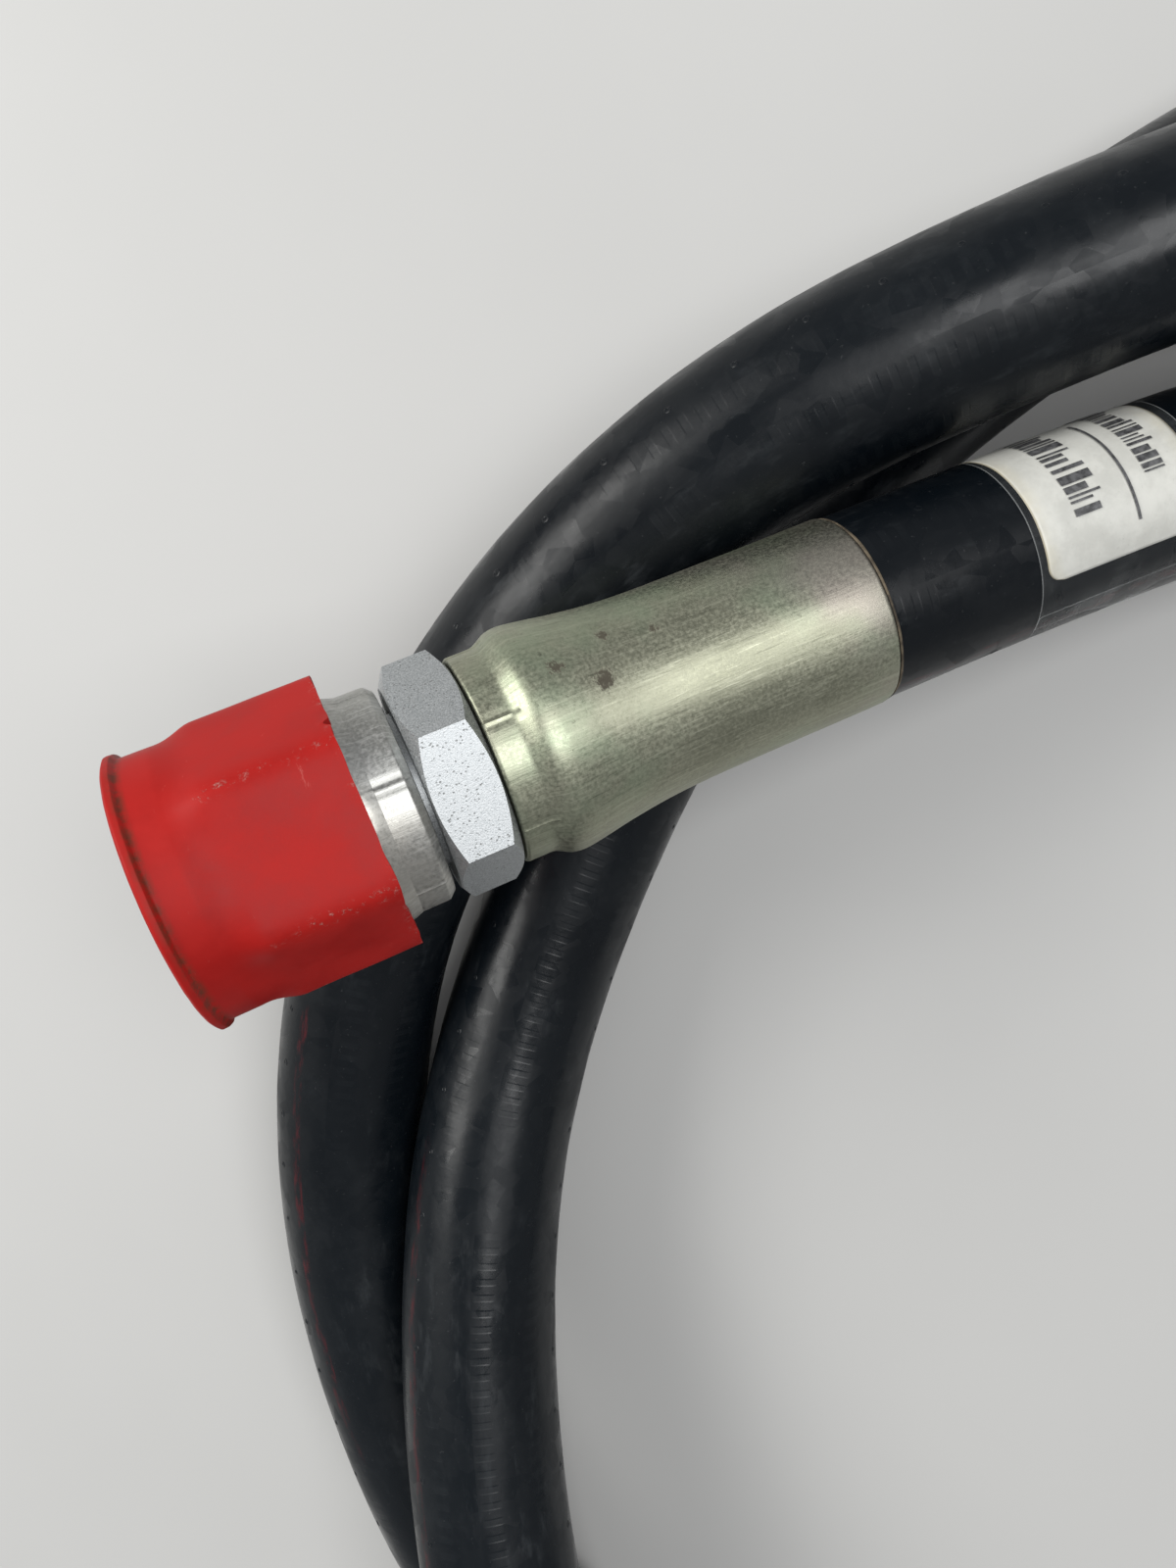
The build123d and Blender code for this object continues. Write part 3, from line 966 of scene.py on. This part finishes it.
def make_thread(end, steel):
    """The nut's internal thread: a helical ridge standing on the bore's wall."""
    sides = 96
    steps = int(THREAD_TURNS * sides)
    profile = ((-0.62, 0.25), (-0.10, -0.02), (0.10, -0.02), (0.62, 0.25))

    def place(i, j):
        angle = 2 * math.pi * i / sides
        ds, dr = profile[j]
        turn = i / sides
        s = THREAD_START_S + THREAD_PITCH * i / sides + ds
        fade = smooth_step(0, 0.3, turn) * (1 - smooth_step(THREAD_TURNS - 0.3, THREAD_TURNS, turn))
        return end.point(s, NUT_THREAD_R - 0.02 + (dr if dr > 0 else dr - 0.02) * fade, angle)

    piece = grid_mesh(f"nut_{end.name}_thread", steps, len(profile), place)
    piece.data.materials.append(steel)
    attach(piece, f"nut_{end.name}")
    return piece


def make_cap(end, vinyl, turn, seed):
    """Push-on cap: skirt stretched over the nut's hexagon, round closed end with a flange."""
    flats = NUT_FLATS + 2 * CAP_CLEARANCE
    outline = rounded_outline(
        [
            (CAP_EDGE_S, 10.44, 0.1),
            (CAP_EDGE_S, 11.35, 0.3),
            (CAP_EDGE_S + 4, 11.35, 0),
            (CAP_EDGE_S + 8, 11.35, 0),
            (CAP_HEX_END_S - 1, 11.45, 0),
            (CAP_HEX_END_S + 1.6, 11.80, 4.0),
            (66.7, 11.84, 0.25),
            (67.0, 12.32, 0.15),
            (67.55, 12.36, 0.20),
            (CAP_END_S, 12.0, 0.4),
            (CAP_END_S, 0.01, 0),
            (66.6, 0.01, 0),
            (66.6, 10.7, 0.3),
            (CAP_HEX_END_S + 0.6, 10.7, 0.3),
            (CAP_HEX_END_S, 10.44, 0.2),
            (CAP_EDGE_S + 6, 10.44, 0),
        ],
        steps=6,
    )

    def shape(s, r, angle):
        if r < 11.0 and s < CAP_HEX_END_S + 0.4:
            if s < CAP_EDGE_S + 0.05:
                s = edge_line(angle)
            return s, hexagon_reach(flats, angle, turn, 0.8) if s < CAP_HEX_END_S else r
        if s < 65.8 and r > 11.0:
            stretch = 1 - smooth_step(CAP_HEX_END_S - 2.0, CAP_HEX_END_S + 1.8, s)
            outer = hexagon_reach(flats + 2 * CAP_WALL, angle, turn, 2.6)
            place = Vector((s * 0.18 + seed, 2 * math.cos(angle), 2 * math.sin(angle)))
            wave = 0.07 * noise.noise(place)
            r = r * (1 - stretch) + (outer + wave) * stretch
        if s < CAP_EDGE_S + 0.5:
            s += edge_line(angle) - CAP_EDGE_S
            r += 0.06 * noise.noise(Vector((9 * math.cos(angle), 9 * math.sin(angle), seed)))
        if s > 66.0 and r > 11.9:
            r += 0.07 * noise.noise(Vector((7 * math.cos(angle), 7 * math.sin(angle), seed + 4)))
        return s, r

    def edge_line(angle):
        ragged = 0.16 * noise.noise(Vector((5 * math.cos(angle), 5 * math.sin(angle), seed + 1)))
        offset = abs((math.degrees(angle) - (turn + 12) + 180) % 360 - 180)
        tear = 0.55 * (1 - smooth_step(0.4, 2.6, offset))
        return CAP_EDGE_S + ragged + tear

    piece = turned(f"cap_{end.name}_shell", end, with_short_steps(outline, 0.45), 288, shape)
    cap_masks(piece, end, turn)
    piece.data.materials.append(vinyl)
    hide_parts(f"dust_cap_{end.name}")
    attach(piece, f"cap_{end.name}")
    return piece


def cap_masks(piece, end, turn):
    """Rubbed places on the hexagon's creases and rims, and dirt caught behind the flange."""
    rub = []
    dirt = []
    for vertex in piece.data.vertices:
        s, r, angle = end.polar(vertex.co)
        offset = abs((angle - turn + 30) % 60 - 30)
        on_hexagon = 1 - smooth_step(CAP_HEX_END_S - 3, CAP_HEX_END_S, s)
        crease = (1 - smooth_step(0.6, 4.0, offset)) * on_hexagon
        rim = 1 - smooth_step(0.1, 0.6, abs(s - CAP_EDGE_S))
        rub.append(max(0.8 * crease, 0.5 * rim))
        behind = 1 - smooth_step(0.05, 0.55, abs(s - CAP_FLANGE_S))
        dirt.append(behind * smooth_step(11.4, 11.7, r))
    paint(piece, "rub", rub)
    paint(piece, "dirt", dirt)


def finish_stem(end, steel):
    """The stem keeps its CAD shape, with eased edges and a better finish."""
    node = frame["nodes"][f"stem_{end.name}"]
    node.data.materials.clear()
    node.data.materials.append(steel)
    ease = node.modifiers.new("eased_edges", "BEVEL")
    ease.width = 0.18 * MM
    ease.segments = 2
    ease.limit_method = "ANGLE"
    ease.angle_limit = math.radians(28)
    ease.harden_normals = True


# ---------------------------------------------------------------- stage


def make_floor():
    bpy.ops.mesh.primitive_plane_add(size=FLOOR_SIZE, location=(0, 0, -FLOOR_GAP))
    floor = bpy.context.object
    floor.name = "floor"
    floor.data.materials.append(floor_finish())


def area_light(name, place, target, size, power, color=(1, 1, 1)):
    """Rectangular lamp at a place, facing a target."""
    data = bpy.data.lights.new(name, "AREA")
    data.shape = "RECTANGLE"
    data.size, data.size_y = size
    data.energy = power
    data.color = color
    lamp = bpy.data.objects.new(name, data)
    bpy.context.collection.objects.link(lamp)
    lamp.location = place
    lamp.rotation_euler = (Vector(target) - Vector(place)).to_track_quat("-Z", "Y").to_euler()


def make_light():
    """Pale surroundings, a lamp high on one side and a window low on the other."""
    world = bpy.data.worlds.new("studio")
    bpy.context.scene.world = world
    world.use_nodes = True
    sky = world.node_tree.nodes["Background"]
    sky.inputs["Color"].default_value = (0.97, 0.98, 1.0, 1.0)
    sky.inputs["Strength"].default_value = 0.36
    area_light("overhead", (0.34, 0.04, 0.95), (-0.12, 0.05, 0), (0.56, 0.56), 7.2)
    area_light("window", (-0.52, 0.44, 0.50), (-0.17, 0.07, 0), (0.50, 0.36), 4.6, (1.0, 0.99, 0.96))


def make_camera():
    """Camera that looks steeply down at fitting A, turned about its own axis."""
    data = bpy.data.cameras.new("camera")
    data.sensor_width = 36.0
    data.lens = CAMERA_LENS
    data.clip_start = 0.005
    camera = bpy.data.objects.new("camera", data)
    bpy.context.collection.objects.link(camera)
    tilt, heading = math.radians(CAMERA_TILT), math.radians(CAMERA_HEADING)
    level_reach = math.sin(tilt)
    ahead = Vector((level_reach * math.cos(heading), level_reach * math.sin(heading), -math.cos(tilt)))
    level = Vector((0, 1, 0))
    level = (level - ahead * level.dot(ahead)).normalized()
    up = Matrix.Rotation(math.radians(CAMERA_ROLL), 3, ahead) @ level
    turn = Matrix((ahead.cross(up), up, -ahead)).transposed()
    camera.matrix_world = Matrix.Translation(CAMERA_PLACE) @ turn.to_4x4()
    bpy.context.scene.camera = camera


# ---------------------------------------------------------------- the whole scene


def build_hose(line, end_a):
    """The hose with everything on it, attached to one body."""
    hose = make_hose(line)
    pricks = make_pin_pricks(line, hose.data.materials[0])
    label = make_label(line)
    marks = make_label_print(line)
    tape = make_tape(line)
    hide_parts("hose_cover", "outer_wire_braid", "tie_layer", "inner_wire_braid", "core_tube")
    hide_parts("part_label")
    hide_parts("label_tape")
    for piece in (hose, pricks, label, marks, tape):
        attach(piece, "hose")
    tuple(end_a.start)
    [tuple(p) for p in line.points]


def main():
    ends = [FittingAxis("a"), FittingAxis("b")]
    line = HoseLine(route_line(), ends[0].upright)
    build_hose(line, ends[0])
    yellow_zinc = plated_steel(
        "zinc_ferrule",
        dark=(0.27, 0.275, 0.205),
        light=(0.44, 0.445, 0.345),
        tints=((0.27, 0.36, 0.24), (0.43, 0.37, 0.35)),
        rough=0.44,
        specks=0.02,
        stained=True,
    )
    nut_zinc = plated_steel(
        "zinc_nut",
        dark=(0.32, 0.32, 0.30),
        light=(0.54, 0.54, 0.52),
        tints=((0.42, 0.40, 0.35), (0.55, 0.57, 0.57)),
        rough=0.44,
        specks=0.0,
        stained=False,
    )
    bright = pitted_steel()
    vinyl = cap_vinyl()
    bead = tan_rubber()
    for index, end in enumerate(ends):
        make_ferrule(end, yellow_zinc)
        make_mouth_ring(end, bead)
        finish_stem(end, bright)
        make_nut(end, nut_zinc, NUT_TURNS[end.name])
        make_thread(end, nut_zinc)
        make_cap(end, vinyl, NUT_TURNS[end.name], 3.0 + 9 * index)
    make_floor()
    make_light()
    make_camera()
    bpy.context.scene.view_settings.view_transform = "Standard"


main()
bpy.context.view_layer.update()
